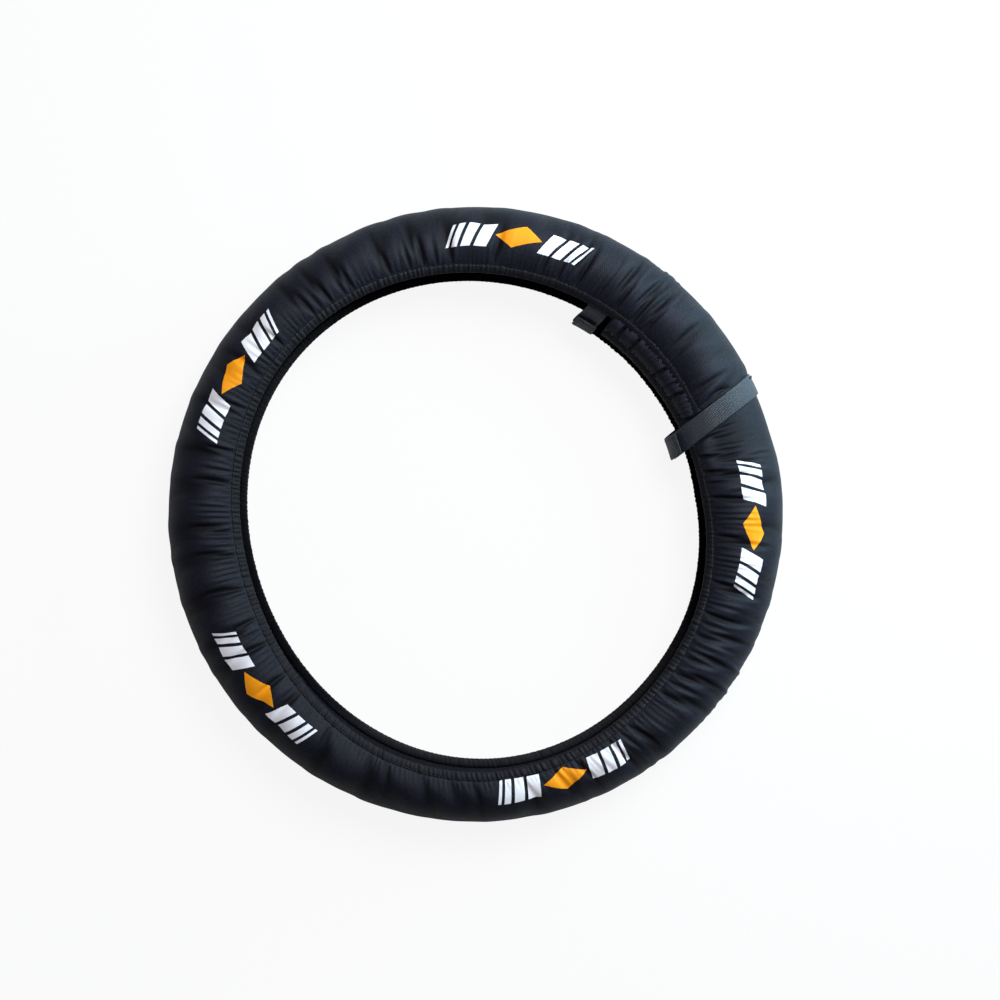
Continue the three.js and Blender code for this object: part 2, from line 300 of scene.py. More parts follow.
def foldLift(nominal, s, hem):  # height that takes up the spare length at each radius
    along = (nominal - startBearing) / (endBearing - startBearing)
    toSeam = hem - cover["hemDepth"] - np.abs(s)
    r = ringSection(s)[0]
    edges = foldEdges[0]
    dice = np.random.default_rng(cover["seed"] + 1)
    turns, sways = dice.random(len(edges)), dice.uniform(0.4, 1, len(edges))
    turn = s / foldShape["swayLength"] + foldShape["swayTurn"] * np.interp(along, edges, turns)
    sway = np.interp(along, edges, sways) * np.sin(tau * turn)
    along = along + cover["wander"] * sway / cover["folds"] * smooth(toSeam, *foldShape["wanderReach"])
    spare = spareLength(s, toSeam)
    least = foldShape["broadShare"]
    broadShare = least + (1 - least) * smooth(toSeam, *foldShape["broadReach"])
    height, ownHeight = foldShape["height"]
    lift = 0
    for level, share in enumerate((broadShare, 1 - broadShare)):
        wave, own, width = foldWave(along, level, 40 + level)
        arc = width * ringLength * r / ring["outerRadius"]
        lift = lift + wave * (height + ownHeight * own) * (2 * arc / np.pi) * np.sqrt(share * spare)
    return lift * smooth(along * ringLength, *foldShape["startsOver"])


def clothGrid():  # rows along the strip, closer together next to the hems
    nominal = np.linspace(startBearing, endBearing, cover["columns"])[None, :]
    share = np.linspace(-1, 1, cover["rows"])[:, None]
    hem = hemDistance(nominal, share)
    eased = np.sign(share) * (1 - (1 - np.abs(share)) ** cover["rowEase"])
    return nominal, hem, eased * (hem - cover["hemDepth"] + cover["intoHem"])


def gapLength(gap):
    return np.sqrt(np.einsum("ijk,ijk->ij", gap, gap)) + 1e-9


# Moves both ends of a thread towards its own length, less when it is slack
def pullPair(a, b, rest, give):
    gap = b - a
    size = gapLength(gap)
    stretch = (size - rest) / size
    move = gap * (0.5 * np.where(stretch > 0, stretch, give * stretch))[..., None]
    a += move
    b -= move


# Painted crease shade: 1 on the crests and 0 in the creases, against the mean height of the folds
# around. It darkens the cloth's colour in the creases and lightens it on the crests.
def paintedCreaseShade(place):
    x, y, z = place[..., 0], place[..., 1], place[..., 2] - ring["midHeight"]
    fromMiddle = np.sqrt(x * x + y * y) - widest
    depth = np.where(fromMiddle > 0, ring["treadDepth"], ring["mouthDepth"])
    half = ring["halfThickness"]
    height = (np.sqrt((fromMiddle / depth) ** 2 + (z / half) ** 2) - 1) * half
    reach = int(cover["creaseShadeFolds"] * cover["columns"] / cover["folds"])
    total = np.cumsum(np.pad(height, ((0, 0), (reach + 1, reach)), mode="edge"), axis=1)
    mean = (total[:, 2 * reach + 1:] - total[:, :-2 * reach - 1]) / (2 * reach + 1)
    return 0.5 + 0.5 * np.clip((height - mean) / cover["creaseDepth"], -1, 1)


relaxing = {
    "slackAlong": 0.9,
    "slackAcross": 0.8,
    "slant": 0.10,
    "bendAlong": 0.045,
    "bendAcross": 0.04,
    "backDeeper": 0.004,
    "ground": 0.0004,
}


# Holds the cloth between a low and a high surface round the ring. The low one is deeper at the back.
def keepOutside(place, low, high):
    x, y, z = place[..., 0], place[..., 1], place[..., 2] - ring["midHeight"]
    radius = np.sqrt(x * x + y * y)
    fromMiddle = radius - widest
    depth = np.where(fromMiddle > 0, ring["treadDepth"], ring["mouthDepth"]).astype(np.float32)
    half = ring["halfThickness"]
    q = np.sqrt((fromMiddle / depth) ** 2 + (z / half) ** 2) + 1e-6
    gradR = fromMiddle / depth ** 2 / q
    gradZ = z / half ** 2 / q
    steep = np.sqrt(gradR ** 2 + gradZ ** 2) + 1e-6
    out = (q - 1) / steep
    floorLow = np.where(z < 0, low - relaxing["backDeeper"], low)
    move = (np.clip(out, floorLow, high) - out) / steep
    place[..., 0] += move * gradR * x / radius
    place[..., 1] += move * gradR * y / radius
    place[..., 2] += move * gradZ
    np.maximum(place[..., 2], relaxing["ground"], out=place[..., 2])


def bendForce(cloth):  # fourth differences along the first axis
    bend = cloth[:-2] - 2 * cloth[1:-1] + cloth[2:]
    return bend[:-2] - 2 * bend[1:-1] + bend[2:]


# Rounds of small moves: threads towards their own lengths, slants, bending, and the surfaces that hold
# the cloth
def relaxCloth(place, restAlong, restAcross, low, high, held, rounds):
    target = place[held].copy()
    turned = place.swapaxes(0, 1)
    restSlant = np.sqrt(restAlong[1:] ** 2 + restAcross[:, 1:] ** 2)
    for _ in range(rounds):
        for start in (0, 1):
            a, b = place[:, start:-1:2], place[:, start + 1::2]
            pullPair(a, b, restAlong[:, start::2], relaxing["slackAlong"])
            a, b = place[start:-1:2], place[start + 1::2]
            pullPair(a, b, restAcross[start::2], relaxing["slackAcross"])
        for a, b in ((np.s_[:-1, :-1], np.s_[1:, 1:]), (np.s_[:-1, 1:], np.s_[1:, :-1])):
            gap = place[b] - place[a]
            move = gap * (relaxing["slant"] * (1 - restSlant / gapLength(gap)))[..., None]
            place[a] += move
            place[b] -= move
        turned[2:-2] -= relaxing["bendAlong"] * bendForce(turned)
        place[2:-2] -= relaxing["bendAcross"] * bendForce(place)
        keepOutside(place, low, high)
        place[held] = target
    return place


clothRoom = {
    "coveredBearings": (366, 374),
    "coveredMargin": (0.012, 0.002),
    "coveredFlat": 0.9,
    "seamRise": (-0.001, 0.010),
    "clearance": 0.0003,
    "sink": 0.005,
    "sinkReach": (0.030, 0.055),
    "sinkMargin": (0.035, 0.018),
    "treadAndSide": (0.0016, 0.013),
    "sideReach": (0.010, 0.048),
    "seam": 0.0012,
    "seamSlope": 0.5,
    "mouth": 0.003,
    "mouthReach": (0.122, 0.140),
    "covered": 0.0012,
    "strapEdge": (0.013, 0.022),
    "leastUnderStrap": 0.0002,
    "pleatMargin": 0.012,
}


# The highest that the cloth may stand: low on the tread, under the strap, at the seam and in the mouth
def highestCloth(s, base, bearing, toSeam, covered):
    reach = np.abs(s)
    room = blendTo(*clothRoom["treadAndSide"], smooth(reach, *clothRoom["sideReach"]))
    room = np.minimum(room, clothRoom["seam"] + clothRoom["seamSlope"] * np.clip(toSeam, 0, 1))
    inMouth = smooth(reach, *clothRoom["mouthReach"])
    room = blendTo(room, np.minimum(room, clothRoom["mouth"]), inMouth)
    high = base + blendTo(room, clothRoom["covered"], covered)
    r = ringSection(s)[0]
    for turn in (tau, 0.0):
        across = np.abs(bearing - turn - lineBearing(outerStrap, r, 0.0)) * r
        under = strapLift(outerStrap, strapLength / 2 - reach * 0.999)
        under = under - strapCloth["thickness"] - clothRoom["clearance"]
        lowest = np.maximum(under, base - clothRoom["leastUnderStrap"])
        high = blendTo(high, np.minimum(high, lowest), 1 - smooth(across, *clothRoom["strapEdge"]))
    return high


def gatheredCloth():
    nominal, hem, s = clothGrid()
    wide = np.broadcast_to(nominal, s.shape)
    base = clothLift(wide, s)
    bearing = clothBearing(wide, s)
    inner = smooth(np.degrees(wide), *clothRoom["coveredBearings"])
    outerHem = hemDistance(wide - tau, s)
    far, near = clothRoom["coveredMargin"]
    covered = inner * (1 - smooth(np.abs(s), outerHem - far, outerHem - near))
    toSeam = hem - cover["hemDepth"] - np.abs(s)
    lift = foldLift(wide, s, hem) * (1 - clothRoom["coveredFlat"] * covered)
    lift = lift * smooth(toSeam, *clothRoom["seamRise"])
    place = onRing(bearing, s, base + lift).astype(np.float32)
    step = (endBearing - startBearing) / (cover["columns"] - 1)
    restAlong = step * ringSection(s)[0] * (1 + spareLength(s, toSeam))
    restAlong = restAlong[:, 1:].astype(np.float32)
    restAcross = np.abs(np.diff(s, axis=0)).astype(np.float32)
    far, near = clothRoom["sinkMargin"]
    side = smooth(np.abs(s), *clothRoom["sinkReach"]) * (1 - smooth(np.abs(s), hem - far, hem - near))
    low = base - clothRoom["clearance"] - clothRoom["sink"] * side * (1 - inner)
    high = highestCloth(s, base, bearing, toSeam, covered)
    held = np.zeros(s.shape, bool)
    held[[0, -1]] = True
    held[:, [0, 1, 2, -1]] = True
    rounds = cover["rounds"]
    low, high = low.astype(np.float32), high.astype(np.float32)
    place = relaxCloth(place, restAlong, restAcross, low, high, held, rounds)
    wave, own, _ = foldWave((wide - startBearing) / (endBearing - startBearing), 2, 42)
    fine = (wave - 0.5) * (foldShape["pleatHeight"] + own) * cover["finePleat"]
    fine = fine * nearSeam(toSeam, *foldShape["pleatReach"])
    fine = fine * (1 - covered) * (np.abs(s) < hem - clothRoom["pleatMargin"])
    outwards = onRing(bearing, s, 1) - onRing(bearing, s, 0)
    return wide, s, place + outwards * fine[..., None]


# Each map in uvs has one pair for each face corner
def meshFrom(name, points, faces, uvs=None):
    mesh = bpy.data.meshes.new(name)
    mesh.vertices.add(len(points))
    mesh.vertices.foreach_set("co", np.ascontiguousarray(points, np.float32).ravel())
    faces = np.ascontiguousarray(faces, np.int32)
    mesh.loops.add(faces.size)
    mesh.loops.foreach_set("vertex_index", faces.ravel())
    mesh.polygons.add(len(faces))
    corners = faces.shape[1]
    mesh.polygons.foreach_set("loop_start", np.arange(0, faces.size, corners, dtype=np.int32))
    mesh.polygons.foreach_set("loop_total", np.full(len(faces), corners, np.int32))
    mesh.polygons.foreach_set("use_smooth", np.ones(len(faces), bool))
    for mapName, values in (uvs or {}).items():
        layer = mesh.uv_layers.new(name=mapName)
        layer.data.foreach_set("uv", np.ascontiguousarray(values, np.float32).ravel())
    mesh.update()
    mesh.validate()
    piece = bpy.data.objects.new(name, mesh)
    scene.collection.objects.link(piece)
    return piece


def gridFaces(rows, columns, roundRows=False):  # quads between neighbouring rows and columns
    a = np.arange(rows if roundRows else rows - 1)[:, None]
    b = np.arange(columns - 1)[None, :]
    below = (a + 1) % rows
    corners = [a * columns + b, a * columns + b + 1, below * columns + b + 1, below * columns + b]
    return np.stack([np.broadcast_to(c, (len(a), columns - 1)) for c in corners], -1).reshape(-1, 4)


def capFaces(rows, columns):  # quads across the two open ends of a tube of round rows
    ids, half = np.arange(rows), rows // 2
    other = ids[::-1][:half]
    strip = np.stack([ids[:half - 1], ids[1:half], other[1:], other[:-1]], -1) * columns
    return np.concatenate([strip[:, ::-1], strip + columns - 1])


def tubeFaces(rows, columns, side=1):  # a closed tube of round rows, turned inside out for side -1
    faces = np.concatenate([gridFaces(rows, columns, roundRows=True), capFaces(rows, columns)])
    return faces[:, ::side]


def rounded(wave, power):  # a sine or cosine made squarer by a power below 1
    return np.sign(wave) * np.abs(wave) ** power


def newMaterial(name):
    material = bpy.data.materials.new(name)
    material.use_nodes = True
    tree = material.node_tree
    shader = tree.nodes["Principled BSDF"]
    return material, tree, shader


def fill(tree, socket, value):  # links an output, or sets a plain value
    if isinstance(value, bpy.types.NodeSocket):
        tree.links.new(value, socket)
    else:
        socket.default_value = value


# Inputs are named, or i0, i1 and so on by number
def addNode(tree, kind, operation=None, **inputs):
    node = tree.nodes.new(kind)
    if operation:
        node.operation = operation
    for key, value in inputs.items():
        numbered = key[0] == "i" and key[1:].isdigit()
        fill(tree, node.inputs[int(key[1:]) if numbered else key], value)
    return node


def mathNode(tree, operation, a, b=0.0, c=0.0):
    return addNode(tree, "ShaderNodeMath", operation, i0=a, i1=b, i2=c).outputs[0]


def linear(red, green, blue):  # a colour as written on screen, 0 to 255, as the shader wants it
    values = np.array([red, green, blue]) / 255
    return (*np.where(values < 0.04045, values / 12.92, ((values + 0.055) / 1.055) ** 2.4), 1.0)


def uvParts(tree, mapName):  # a map's vector and its two values
    source = addNode(tree, "ShaderNodeUVMap")
    source.uv_map = mapName
    split = addNode(tree, "ShaderNodeSeparateXYZ", i0=source.outputs[0])
    return source.outputs[0], split.outputs[0], split.outputs[1]


def mixColours(tree, share, a, b):
    node = tree.nodes.new("ShaderNodeMix")
    node.data_type = "RGBA"
    for number, value in ((0, share), (6, a), (7, b)):
        fill(tree, node.inputs[number], value)
    return node.outputs[2]


def noise(tree, vector, scale, detail=3.0, roughness=0.55):
    values = {"Vector": vector, "Scale": scale, "Detail": detail, "Roughness": roughness}
    return addNode(tree, "ShaderNodeTexNoise", **values).outputs[0]


def stretched(tree, vector, scale):
    node = addNode(tree, "ShaderNodeMapping", Vector=vector)
    node.inputs["Scale"].default_value = scale
    return node.outputs[0]


def bump(tree, height, strength, distance, normal=None):
    node = addNode(tree, "ShaderNodeBump", Height=height, Strength=strength, Distance=distance)
    if normal is not None:
        tree.links.new(normal, node.inputs["Normal"])
    return node.outputs[0]


def sineWave(tree, value, pitch):
    return mathNode(tree, "SINE", mathNode(tree, "MULTIPLY", value, tau / pitch))


# Over-and-under threads: two crossed waves that take turns on top, and a diagonal one
def wovenHeight(tree, x, y, pitch):
    diagonal = sineWave(tree, mathNode(tree, "ADD", x, y), 2 * pitch)
    crossed = mathNode(tree, "MULTIPLY", sineWave(tree, x, pitch), sineWave(tree, y, pitch))
    return mathNode(tree, "MULTIPLY_ADD", diagonal, 0.6, crossed)


def roughBetween(tree, shader, value, limits):
    rough = addNode(tree, "ShaderNodeMapRange", Value=value)
    rough.inputs["To Min"].default_value, rough.inputs["To Max"].default_value = limits
    tree.links.new(rough.outputs[0], shader.inputs["Roughness"])


def setSheen(shader, weight, tint):
    shader.inputs["Sheen Weight"].default_value = weight
    shader.inputs["Sheen Tint"].default_value = linear(*tint)


clothLook = {
    "dark": (4, 4, 10),
    "light": (25, 27, 39),
    "white": (240, 241, 248),
    "orange": (250, 158, 20),
    "weave": 0.0017,
    "weaveTone": 0.16,
    "grainScale": (450.0, 320.0, 1.0),
    "grainMiddle": 0.35,
    "grainTone": 1.7,
    "cloudTone": 0.3,
    # painted shade in the creases and painted light on the crests: a scale and an offset on the crease
    # map
    "creaseShadeTone": (1.35, 0.3),
    "wrinkleScale": (160.0, 45.0, 1.0),
    "wrinkleBump": (0.4, 0.0016),
    "grainBump": (0.3, 0.0004),
    "weaveBump": (0.35, 0.00022),
    "roughness": (0.5, 0.68),
    "specular": 0.2,
    "sheen": 0.02,
    "sheenRoughness": 0.4,
    "sheenTint": (150, 185, 225),
}
prints = {
    "bearings": (82.0, 150.0, 219.0, 287.0, 357.0),
    "distance": 0.069,
    "halfHeight": 0.0132,
    "halfLength": 0.090,
    "slant": 0.45,
    "lozenge": 0.030,
    "bars": ((0.38, 0.57), (0.62, 0.76), (0.81, 0.90), (0.945, 0.985)),
    "worn": {"From Min": 0.25, "From Max": 0.42, "To Min": 0.82},
    "edgeBump": (0.4, 0.0003),
    "weaveUnderInk": -0.6,
}


# Slanted bars on both sides of a lozenge, from each print's own flat coordinates
def printMask(tree):
    _, x, y = uvParts(tree, "print")
    slanted = mathNode(tree, "MULTIPLY_ADD", y, -prints["slant"], x)
    side = mathNode(tree, "ABSOLUTE", slanted)
    far = mathNode(tree, "DIVIDE", side, prints["halfLength"])
    bars = addNode(tree, "ShaderNodeValToRGB", i0=far)
    ramp = bars.color_ramp
    ramp.interpolation = "CONSTANT"
    ramp.elements[0].position, ramp.elements[0].color = 0.0, (0, 0, 0, 1)
    ramp.elements.remove(ramp.elements[1])
    for begin, end in prints["bars"]:
        ramp.elements.new(begin).color = (1, 1, 1, 1)
        ramp.elements.new(end).color = (0, 0, 0, 1)
    height = mathNode(tree, "ABSOLUTE", y)
    inside = mathNode(tree, "LESS_THAN", height, prints["halfHeight"])
    white = mathNode(tree, "MULTIPLY", bars.outputs[0], inside)
    across = mathNode(tree, "DIVIDE", side, prints["lozenge"])
    tall = mathNode(tree, "DIVIDE", height, prints["halfHeight"])
    orange = mathNode(tree, "LESS_THAN", mathNode(tree, "ADD", across, tall), 1.0)
    return white, orange


def printed(tree, vector, colour, weave):  # worn ink over the cloth's colour, with an edge of its own
    white, orange = printMask(tree)
    fade = addNode(tree, "ShaderNodeMapRange", Value=noise(tree, vector, 420.0, 5.0))
    for key, value in prints["worn"].items():
        fade.inputs[key].default_value = value
    for mask, ink in ((white, "white"), (orange, "orange")):
        share = mathNode(tree, "MULTIPLY", mask, fade.outputs[0])
        colour = mixColours(tree, share, colour, linear(*clothLook[ink]))
    inked = mathNode(tree, "MAXIMUM", white, orange)
    flatter = mathNode(tree, "MULTIPLY_ADD", inked, prints["weaveUnderInk"], 1.0)
    weave = mathNode(tree, "MULTIPLY", weave, flatter)
    return colour, weave, bump(tree, inked, *prints["edgeBump"])


# Depth scales the lighter of the two tones; below 1 it paints shade. Only the panel has prints, and a
# map of painted shade in its creases and painted light on its crests.
def clothMaterial(name, onPanel, depth=1.0):
    material, tree, shader = newMaterial(name)
    vector, x, y = uvParts(tree, "cloth")
    broad = noise(tree, vector, 9.0, 2.0)
    cloudy = noise(tree, vector, 55.0, 4.0)
    grain = noise(tree, stretched(tree, vector, clothLook["grainScale"]), 1.0, 2.0)
    share = clothLook["cloudTone"]
    soft = mathNode(tree, "MULTIPLY_ADD", broad, share, mathNode(tree, "MULTIPLY", cloudy, share))
    grainOver = mathNode(tree, "SUBTRACT", grain, clothLook["grainMiddle"])
    tone = mathNode(tree, "MULTIPLY_ADD", grainOver, clothLook["grainTone"], soft)
    weave = wovenHeight(tree, x, y, clothLook["weave"])
    tone = mathNode(tree, "MULTIPLY_ADD", weave, clothLook["weaveTone"], tone)
    if onPanel:
        # Painted shade and painted light: the crease map darkens the colour in the creases and lightens
        # it on the crests
        creaseShade = mathNode(tree, "MULTIPLY_ADD", uvParts(tree, "creaseShade")[1], *clothLook["creaseShadeTone"])
        tone = mathNode(tree, "MULTIPLY", tone, creaseShade)
    # Below 1, depth darkens the lighter tone: painted shade on a copy of the same cloth
    light = linear(*(depth * value for value in clothLook["light"]))
    colour = mixColours(tree, tone, linear(*clothLook["dark"]), light)
    normal = None
    if onPanel:
        colour, weave, normal = printed(tree, vector, colour, weave)
    tree.links.new(colour, shader.inputs["Base Color"])
    roughBetween(tree, shader, cloudy, clothLook["roughness"])
    wrinkles = noise(tree, stretched(tree, vector, clothLook["wrinkleScale"]), 1.0, 4.0)
    normal = bump(tree, wrinkles, *clothLook["wrinkleBump"], normal)
    normal = bump(tree, grain, *clothLook["grainBump"], normal)
    normal = bump(tree, weave, *clothLook["weaveBump"], normal)
    tree.links.new(normal, shader.inputs["Normal"])
    shader.inputs["Specular IOR Level"].default_value = clothLook["specular"]
    setSheen(shader, clothLook["sheen"], clothLook["sheenTint"])
    shader.inputs["Sheen Roughness"].default_value = clothLook["sheenRoughness"]
    return material


bandLook = {
    "threads": 1.3,
    "webRoughness": (0.38, 0.6),
    "webBump": (0.5, 0.0003),
    "webSheen": 0.06,
    "tapeRoughness": (0.7, 0.95),
    "tapeBump": 0.8,
}


# Narrow ribs across the band, and threads along it
def webbingMaterial(name, dark, light, ribs):
    material, tree, shader = newMaterial(name)
    vector, x, y = uvParts(tree, "cloth")
    thread = sineWave(tree, y, bandLook["threads"] * ribs)
    height = mathNode(tree, "MULTIPLY_ADD", thread, 0.5, sineWave(tree, x, ribs))
    cloudy = noise(tree, vector, 90.0, 4.0)
    tone = mathNode(tree, "MULTIPLY_ADD", height, 0.15, cloudy)
    colour = mixColours(tree, tone, linear(*dark), linear(*light))
    tree.links.new(colour, shader.inputs["Base Color"])
    roughBetween(tree, shader, cloudy, bandLook["webRoughness"])
    tree.links.new(bump(tree, height, *bandLook["webBump"]), shader.inputs["Normal"])
    setSheen(shader, bandLook["webSheen"], clothLook["sheenTint"])
    return material


# Small cells, coarser for hooks and finer for a felt of loops
def tapeMaterial(name, dark, light, pitch, depth):
    material, tree, shader = newMaterial(name)
    vector = uvParts(tree, "cloth")[0]
    cells = addNode(tree, "ShaderNodeTexVoronoi", Vector=vector, Scale=1 / pitch)
    height = cells.outputs["Distance"]
    cloudy = noise(tree, vector, 300.0, 4.0)
    tone = mathNode(tree, "MULTIPLY_ADD", height, -0.5, mathNode(tree, "ADD", cloudy, 0.2))
    colour = mixColours(tree, tone, linear(*dark), linear(*light))
    tree.links.new(colour, shader.inputs["Base Color"])
    roughBetween(tree, shader, cloudy, bandLook["tapeRoughness"])
    tree.links.new(bump(tree, height, bandLook["tapeBump"], depth), shader.inputs["Normal"])
    return material


coverCloth = clothMaterial("printed cover cloth", True)
# The hem casing is the cover cloth with its lighter tone at 0.62: painted shade
shadedHemCloth = clothMaterial("painted-shade hem cloth", False, 0.62)
threadLook = webbingMaterial("sewing thread", (20, 21, 28), (58, 62, 74), 0.0006)
strapWeb = webbingMaterial("strap webbing", (12, 14, 20), (35, 42, 56), 0.0016)
elasticWeb = webbingMaterial("hem elastic", (16, 17, 20), (34, 36, 40), 0.0011)
loopTape = tapeMaterial("loop tape", (18, 20, 24), (48, 52, 60), 0.0007, 0.0004)
hookTape = tapeMaterial("hook tape", (14, 15, 18), (40, 42, 48), 0.0011, 0.0006)
print("materials made")


# Gives a piece its material and its body, and hides the nodes that it stands for
def dress(piece, material, slotName, *nodes):
    piece.data.materials.append(material)
    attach(piece, "root")
    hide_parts(*nodes)
    return piece


def coverPanel():
    wide, s, place = gatheredCloth()
    rows, columns = s.shape
    faces = gridFaces(rows, columns)
    along = ((wide - startBearing) * ring["outerRadius"] * cover["slack"]).ravel()
    flat = np.stack([along, s.ravel()], -1)
    middle = along[faces].mean(axis=1)
    centres = np.radians(np.array(prints["bearings"])) - startBearing
    centres = centres * ring["outerRadius"] * cover["slack"]
    nearest = centres[np.abs(middle[:, None] - centres[None, :]).argmin(axis=1)]
    printX = along[faces] - nearest[:, None]
    printY = s.ravel()[faces] - prints["distance"]
    # the painted crease shade map, carried to the shader as a map of its own
    creaseShade = np.stack([paintedCreaseShade(place).ravel(), np.zeros(s.size)], -1)
    maps = {"cloth": flat[faces], "print": np.stack([printX, printY], -1), "creaseShade": creaseShade[faces]}
    piece = meshFrom("coverPanel", place.reshape(-1, 3), faces, maps)
    return dress(piece, coverCloth, "cover_cloth", "cover_panel")


panel = coverPanel()
print("gathered panel made", len(panel.data.polygons), "faces")

hemShape = {
    "columns": 1900,
    "around": 12,
    "halfWidth": 0.0056,
    "halfThickness": 0.0016,
    "pucker": 0.0010,
    "scallop": 0.0003,
    "inset": 0.0055,
    "taper": 0.25,
    "powers": (0.7, 0.8),
}


# A flat rounded loop carried along the hem, puckered as finely as the pleats beside it
def hemTube(name, side):
    nominal = np.linspace(startBearing + 0.002, endBearing, hemShape["columns"])[None, :]
    turn = np.linspace(0, tau, hemShape["around"], endpoint=False)[:, None]
    along = (nominal - startBearing) / (endBearing - startBearing)
    wave, own, _ = foldWave(along, 2, 77)
    puckered = (wave * (0.4 + own) - 0.5) * hemShape["pucker"]
    hem = hemDistance(nominal, side) - hemShape["inset"]
    flatCos = rounded(np.cos(turn), hemShape["powers"][0])
    flatSin = rounded(np.sin(turn), hemShape["powers"][1])
    x = flatCos * (hemShape["halfWidth"] + hemShape["scallop"] * (wave - 0.5))
    rise = flatSin * hemShape["halfThickness"] * (1 - hemShape["taper"] * flatCos)
    rise = rise + puckered * (0.4 + 0.6 * (flatSin > 0))
    s = side * (hem + x)
    wide = np.broadcast_to(nominal, s.shape)
    lift = clothLift(wide, s) - hemShape["halfThickness"] + rise
    points = onRing(clothBearing(wide, s), s, lift)
    faces = tubeFaces(*s.shape, side)
    along = np.broadcast_to(along * flatLength, s.shape)
    flat = np.stack([along.ravel(), (s + 0.003 * turn).ravel()], -1)
    piece = meshFrom(name, points.reshape(-1, 3), faces, {"cloth": flat[faces]})
    # The hem casing wears the darker copy of the cloth, which paints shade on it
    dress(piece, shadedHemCloth, "cover_cloth", "cover_panel")


hemTube("frontHem", 1)
hemTube("backHem", -1)
print("hems made")


def bandProfile(width, thickness, points=16):  # a rounded oblong, from its middle
    turn = np.linspace(0, tau, points, endpoint=False)
    x = rounded(np.cos(turn), 0.25) * width / 2
    y = rounded(np.sin(turn), 0.6) * thickness / 2
    return x[:, None], y[:, None]


# A band is where it begins and ends along the strap, its width, its depth under the strap's face, its
# thickness and its steps
def bandAlongStrap(name, strap, band, material, slotName, node):
    begin, end, width, depth, thickness, steps = band
    along = np.linspace(begin, end, steps)[None, :]
    x, y = bandProfile(width, thickness)
    distance = np.broadcast_to(strapDistance(along), (len(x), steps))
    r = ringSection(distance)[0]
    ripple = 0.00025 * np.sin(along * 95 + x * 40) + 0.0002 * np.sin(along * 41 - x * 90)
    bearing = lineBearing(strap, r, -x + 0.0004 * np.sin(along * 27))
    lift = strapLift(strap, along) - depth - thickness / 2 + y + ripple
    points = onRing(bearing, distance, lift)
    faces = tubeFaces(*distance.shape)
    flat = np.stack([np.broadcast_to(value, distance.shape).ravel() for value in (along, x)], -1)
    piece = meshFrom(name, points.reshape(-1, 3), faces, {"cloth": flat[faces]})
    dress(piece, material, slotName, node)


# Loop tape on the strap's first end and hook tape on its last, face to face where they lap in the mouth
def strapAndTapes(label, strap, nodes):
    width, thick, lap = (strapCloth[key] for key in ("width", "thickness", "lap"))
    margin, gap, tape = (strapCloth[key] for key in ("margin", "tapeGap", "patchThickness"))
    tapeWidth, lapStart = width - 2 * margin, strapLength - lap
    web = (0, strapLength, width, 0, thick, 300)
    loop = (margin, lap - margin, tapeWidth, -gap - tape, tape, 40)
    hook = (lapStart + margin, strapLength - margin, tapeWidth, thick + gap, tape, 40)
    bandAlongStrap(label + "Strap", strap, web, strapWeb, "strap_webbing", nodes[0])
    bandAlongStrap(label + "LoopTape", strap, loop, loopTape, "loop_tape", nodes[1])
    bandAlongStrap(label + "HookTape", strap, hook, hookTape, "hook_tape", nodes[2])


outerNodes = ("outer_end_strap", "outer_strap_loop_patch", "outer_strap_hook_patch")
innerNodes = ("inner_end_strap", "inner_strap_loop_patch", "inner_strap_hook_patch")
strapAndTapes("outer", outerStrap, outerNodes)
strapAndTapes("inner", innerStrap, innerNodes)

elastic = {
    "width": 0.0072,
    "thickness": 0.0007,
    "inset": 0.0052,
    "depth": 0.0016,
    "steps": 900,
}


def hemElastic(name, side, node):  # a thin band in each hem
    nominal = np.linspace(startBearing + 0.004, endBearing - 0.002, elastic["steps"])[None, :]
    x, y = bandProfile(elastic["width"], elastic["thickness"], 8)
    s = side * (hemDistance(nominal, side) - elastic["inset"] + x)
    wide = np.broadcast_to(nominal, s.shape)
    points = onRing(clothBearing(wide, s), s, clothLift(wide, s) - elastic["depth"] + y)
    faces = tubeFaces(*s.shape, side)
    along = (wide - startBearing) * ring["outerRadius"]
    flat = np.stack([along.ravel(), np.abs(s).ravel()], -1)
    piece = meshFrom(name, points.reshape(-1, 3), faces, {"cloth": flat[faces]})
    dress(piece, elasticWeb, "hem_elastic", node)


stitchShape = {
    "length": 0.0026,
    "pitch": 0.0038,
    "width": 0.0006,
    "height": 0.0005,
    "around": 6,
    "stations": ((-0.5, 0.4), (-0.36, 1), (0.36, 1), (0.5, 0.4)),
    "hemInset": 0.0085,
    "hemRadius": 0.275,
    "hemLift": 0.0002,
    "strapInset": 0.0035,
    "strapLift": 0.00015,
}


# Each stitch is a short rounded bar: begin and end are its (bearing, s, lift) arrays, and its stations
# are places along it, as shares of its length, with the share of its width there
def stitches(name, begin, end, slotName, node):
    a, b = onRing(*begin), onRing(*end)
    up = onRing(begin[0], begin[1], begin[2] + 1) - a
    along = b - a
    along = along / np.linalg.norm(along, axis=-1, keepdims=True)
    side = np.cross(up, along)
    around, places = stitchShape["around"], np.array(stitchShape["stations"])
    grid = (around, len(places))
    turn = np.linspace(0, tau, around, endpoint=False)[:, None]
    shape = [np.broadcast_to(places[None, :, 0] * stitchShape["length"], grid),
             np.cos(turn) * places[None, :, 1] * stitchShape["width"] / 2,
             np.sin(turn) * places[None, :, 1] * stitchShape["height"] / 2]
    points = (a + b)[:, None] / 2
    for axis, size in zip((along, side, up), shape):
        points = points + axis[:, None] * size.reshape(1, -1, 1)
    shifts = np.arange(len(a))[:, None, None] * grid[0] * grid[1]
    faces = (tubeFaces(*grid)[None] + shifts).reshape(-1, 4)
    flat = np.stack([shape[0].ravel(), (shape[1] + shape[2]).ravel()], -1)
    flat = np.tile(flat, (len(a), 1))
    piece = meshFrom(name, points.reshape(-1, 3), faces, {"cloth": flat[faces]})
    dress(piece, threadLook, slotName, node)


